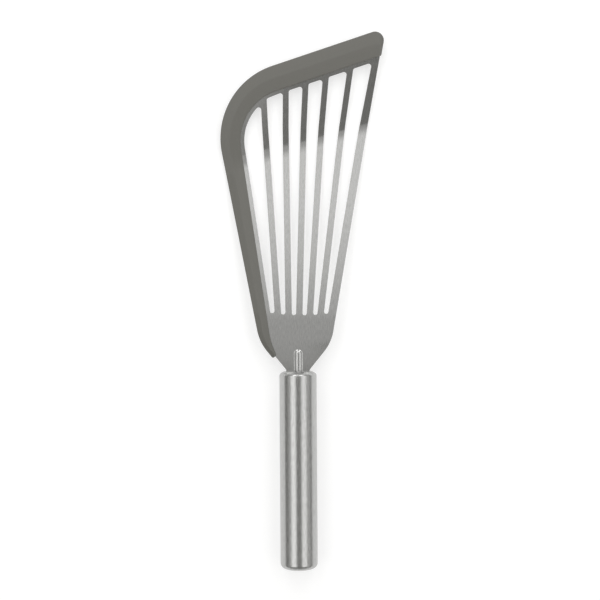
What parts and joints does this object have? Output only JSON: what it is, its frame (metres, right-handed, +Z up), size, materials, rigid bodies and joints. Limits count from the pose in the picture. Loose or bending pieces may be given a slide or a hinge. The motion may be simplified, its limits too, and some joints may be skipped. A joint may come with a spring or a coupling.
{
  "type": "slotted spatula",
  "caption": "Slotted steel turning spatula with a slanted tip, a grey silicone edge along its left side and leading edge, and a round tubular steel handle.",
  "frame": {"origin": "on the table under the middle of the spatula's box, with the handle and the belly of the blade resting on the table", "axes": "+Y from the handle to the tip of the blade, +Z up from the table, +X towards the pointed end of the leading edge"},
  "size_m": [0.0972, 0.3158, 0.022],
  "materials": {
    "blade_steel": "stamped stainless sheet, satin, brushed lengthwise",
    "silicone": "moulded grey silicone, matt",
    "handle_steel": "stainless tube, brushed lengthwise",
    "nylon": "moulded nylon, natural",
    "pin_steel": "drawn steel pin"
  },
  "bodies": {
    "root": {"blade": "blade_steel", "silicone_edge": "silicone", "handle_tube": "handle_steel", "front_cap": "handle_steel", "butt_cap": "handle_steel", "tang_plug": "nylon", "tang_pin": "pin_steel"}
  },
  "joints": []
}
